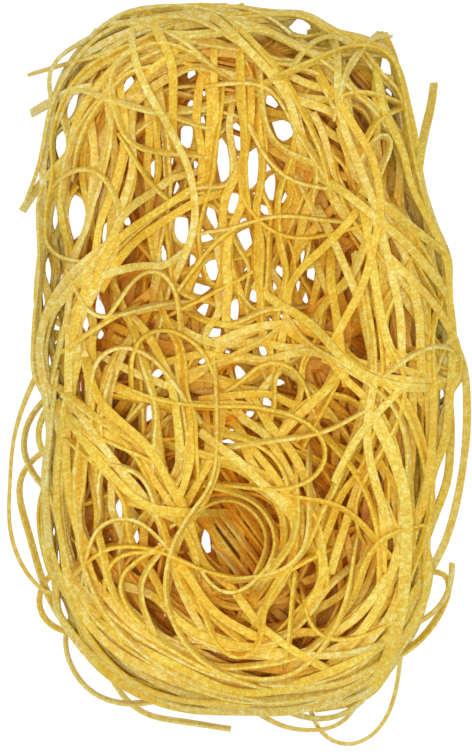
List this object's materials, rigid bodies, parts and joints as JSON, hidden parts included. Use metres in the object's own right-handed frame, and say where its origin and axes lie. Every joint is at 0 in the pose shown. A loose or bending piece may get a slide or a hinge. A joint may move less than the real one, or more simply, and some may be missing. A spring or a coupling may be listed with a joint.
{
  "type": "dry pasta nest",
  "caption": "Flat oval nest of dry egg pasta: thin flat noodles folded over each other into a low cake, with an airy middle, a coiled end and loose loops at its edge.",
  "frame": {"origin": "middle of the nest's box, on the surface that it lies on", "axes": "+Z up, +Y along the nest towards its airy end, +X to the right seen from above with +Y up"},
  "size_m": [0.0834, 0.134, 0.03],
  "materials": {
    "egg_pasta": "matte, slightly rough, with fine pale flecks of semolina"
  },
  "bodies": {
    "root": {"dry_pasta_nest": "egg_pasta"}
  },
  "joints": []
}
